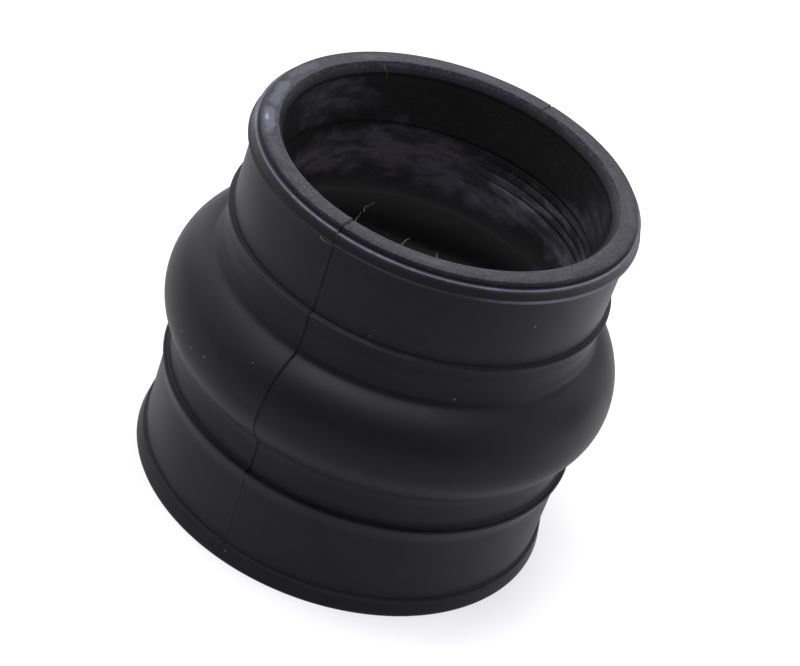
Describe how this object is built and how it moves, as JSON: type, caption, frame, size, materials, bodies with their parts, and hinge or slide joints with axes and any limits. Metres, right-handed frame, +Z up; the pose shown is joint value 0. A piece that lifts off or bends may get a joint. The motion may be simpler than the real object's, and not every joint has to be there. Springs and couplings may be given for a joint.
{
  "type": "flexible rubber pipe coupling",
  "caption": "Flexible moulded rubber sleeve that joins pipe ends, with a stepped clamp seat at each end and a round bellows bulge between them.",
  "frame": {"origin": "centre of the lower end face, which the sleeve stands on", "axes": "+Z up along the sleeve's axis, from the wider lower cuff to the narrower upper cuff; X and Y are any two directions across it"},
  "size_m": [0.09, 0.09, 0.0766],
  "materials": {
    "black_rubber": "matt, with a faint sheen"
  },
  "bodies": {
    "root": {"coupling_sleeve": "black_rubber"}
  },
  "joints": []
}
